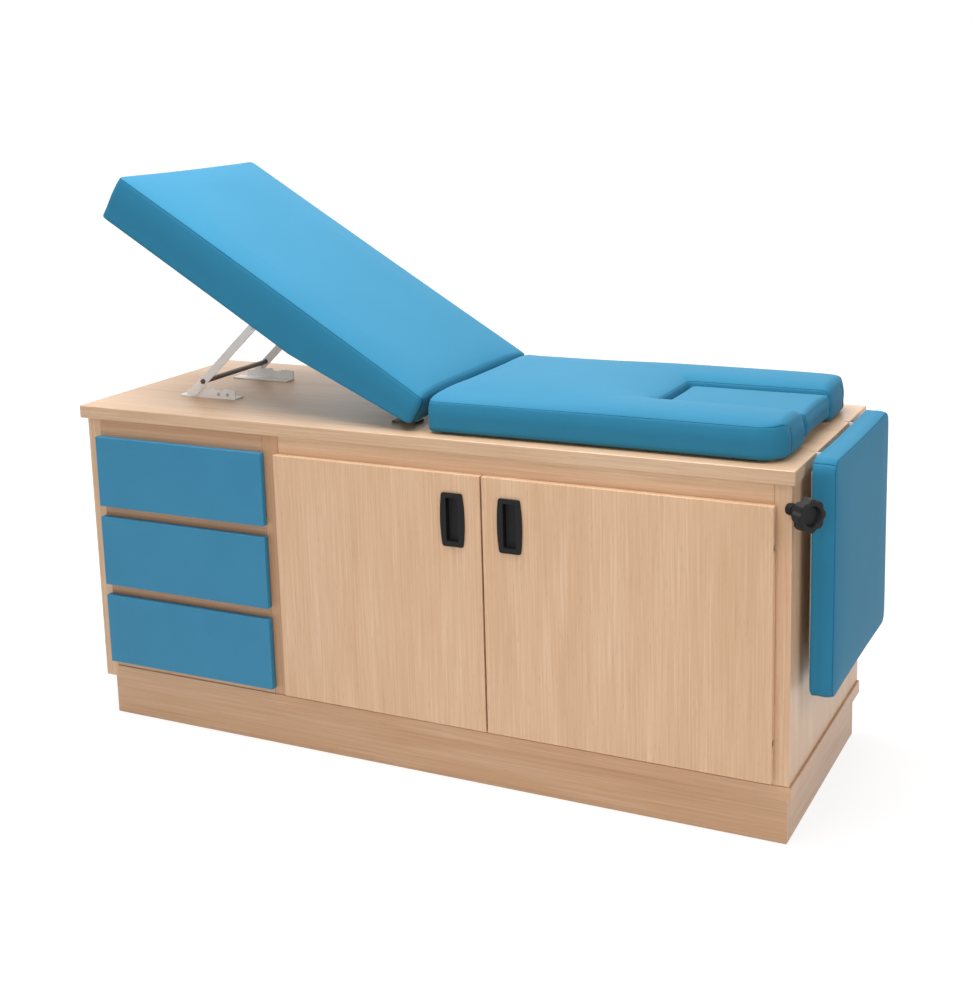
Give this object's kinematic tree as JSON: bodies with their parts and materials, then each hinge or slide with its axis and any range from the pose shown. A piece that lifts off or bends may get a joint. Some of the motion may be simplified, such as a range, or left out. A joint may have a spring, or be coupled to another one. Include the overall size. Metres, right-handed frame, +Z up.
{
  "type": "examination table with cabinet",
  "caption": "Clinic examination table on a wooden cabinet with drawers and doors, a propped tilting backrest, a padded seat with a cut-out and infill, and a hanging leg flap.",
  "frame": {"origin": "on the floor, under the middle of the table top's plan, on the underside of the plinth's cross brace", "axes": "+X from the head end to the foot end, -Y out of the drawers and doors, +Z up"},
  "size_m": [1.8213, 0.6642, 1.3327],
  "materials": {
    "beech_laminate": "satin",
    "plywood": "matte",
    "blue_laminate": "satin",
    "blue_vinyl": "satin",
    "white_steel": "satin",
    "bare_steel": "satin",
    "dark_steel": "satin",
    "black_plastic": "satin",
    "white_board": "satin"
  },
  "bodies": {
    "cabinet": {"plinth_front": "beech_laminate", "plinth_back": "beech_laminate", "plinth_left": "beech_laminate", "plinth_right": "beech_laminate", "plinth_brace": "plywood", "bottom_board": "beech_laminate", "left_side_panel": "beech_laminate", "right_side_panel": "beech_laminate", "partition_panel": "beech_laminate", "back_panel": "plywood", "shelf": "beech_laminate", "left_stile": "beech_laminate", "middle_stile": "beech_laminate", "right_stile": "beech_laminate", "top_rail_left": "beech_laminate", "top_rail_right": "beech_laminate", "bottom_rail_left": "beech_laminate", "bottom_rail_right": "beech_laminate", "drawer_rail_lower": "beech_laminate", "drawer_rail_upper": "beech_laminate", "drawer_runner_left": "plywood", "drawer_runner_right": "plywood", "left_door_pivot_lower": "bare_steel", "left_door_pivot_upper": "bare_steel", "right_door_pivot_lower": "bare_steel", "right_door_pivot_upper": "bare_steel", "table_top": "beech_laminate", "ratchet_plate_front": "white_steel", "ratchet_plate_rear": "white_steel", "backrest_hinge_base_front": "dark_steel", "backrest_hinge_base_rear": "dark_steel", "seat_board": "plywood", "seat_pad": "blue_vinyl", "knob_bush": "bare_steel"},
    "lower_drawer": {"drawer_lower_front": "blue_laminate", "drawer_lower_box": "plywood"},
    "middle_drawer": {"drawer_middle_front": "blue_laminate", "drawer_middle_box": "plywood"},
    "upper_drawer": {"drawer_upper_front": "blue_laminate", "drawer_upper_box": "plywood"},
    "left_door": {"left_door": "beech_laminate", "left_door_pull": "black_plastic"},
    "right_door": {"right_door": "beech_laminate", "right_door_pull": "black_plastic"},
    "backrest": {"backrest_pad": "blue_vinyl", "backrest_board": "plywood", "backrest_hinge_arm_front": "dark_steel", "backrest_hinge_arm_rear": "dark_steel", "prop_bracket_front": "white_steel", "prop_bracket_rear": "white_steel"},
    "prop": {"prop_strut_front": "white_steel", "prop_strut_rear": "white_steel", "prop_bar": "dark_steel"},
    "leg_flap": {"flap_pad": "blue_vinyl", "flap_board": "white_board", "flap_arm_front": "white_steel", "flap_arm_rear": "white_steel"},
    "infill": {"infill_pad": "blue_vinyl"},
    "knob": {"star_knob": "black_plastic"}
  },
  "joints": [
    {"name": "lower_drawer_slide", "type": "slide", "parent": "cabinet", "child": "lower_drawer", "axis": [0, -1, 0], "range_m": [0, 0.4]},
    {"name": "middle_drawer_slide", "type": "slide", "parent": "cabinet", "child": "middle_drawer", "axis": [0, -1, 0], "range_m": [0, 0.4]},
    {"name": "upper_drawer_slide", "type": "slide", "parent": "cabinet", "child": "upper_drawer", "axis": [0, -1, 0], "range_m": [0, 0.4]},
    {"name": "left_door_hinge", "type": "hinge", "parent": "cabinet", "child": "left_door", "pos_m": [-0.3107, -0.3085, 0.4265], "axis": [0, 0, -1], "range_deg": [0, 90]},
    {"name": "right_door_hinge", "type": "hinge", "parent": "cabinet", "child": "right_door", "pos_m": [0.8317, -0.3085, 0.4265], "axis": [0, 0, 1], "range_deg": [0, 110]},
    {"name": "backrest_hinge", "type": "hinge", "parent": "cabinet", "child": "backrest", "pos_m": [-0.037, 0, 0.815], "axis": [0, 1, 0], "range_deg": [-31, 7]},
    {"name": "prop_pivot", "type": "hinge", "parent": "backrest", "child": "prop", "pos_m": [-0.4133, 0, 1.02944], "axis": [0, 1, 0], "range_deg": [-16.8, 74]},
    {"name": "flap_hinge", "type": "hinge", "parent": "cabinet", "child": "leg_flap", "pos_m": [0.867, 0, 0.777], "axis": [0, -1, 0], "range_deg": [0, 90]},
    {"name": "infill_lift", "type": "slide", "parent": "cabinet", "child": "infill", "axis": [0, 0, 1], "range_m": [0, 0.12]},
    {"name": "knob_turn", "type": "hinge", "parent": "cabinet", "child": "knob", "pos_m": [0.868, -0.298, 0.7075], "axis": [0.8192, -0.5736, 0], "continuous": true}
  ],
  "couplings": [
    {"joint": "prop_pivot", "follows": "backrest_hinge", "ratio": -2.385}
  ]
}
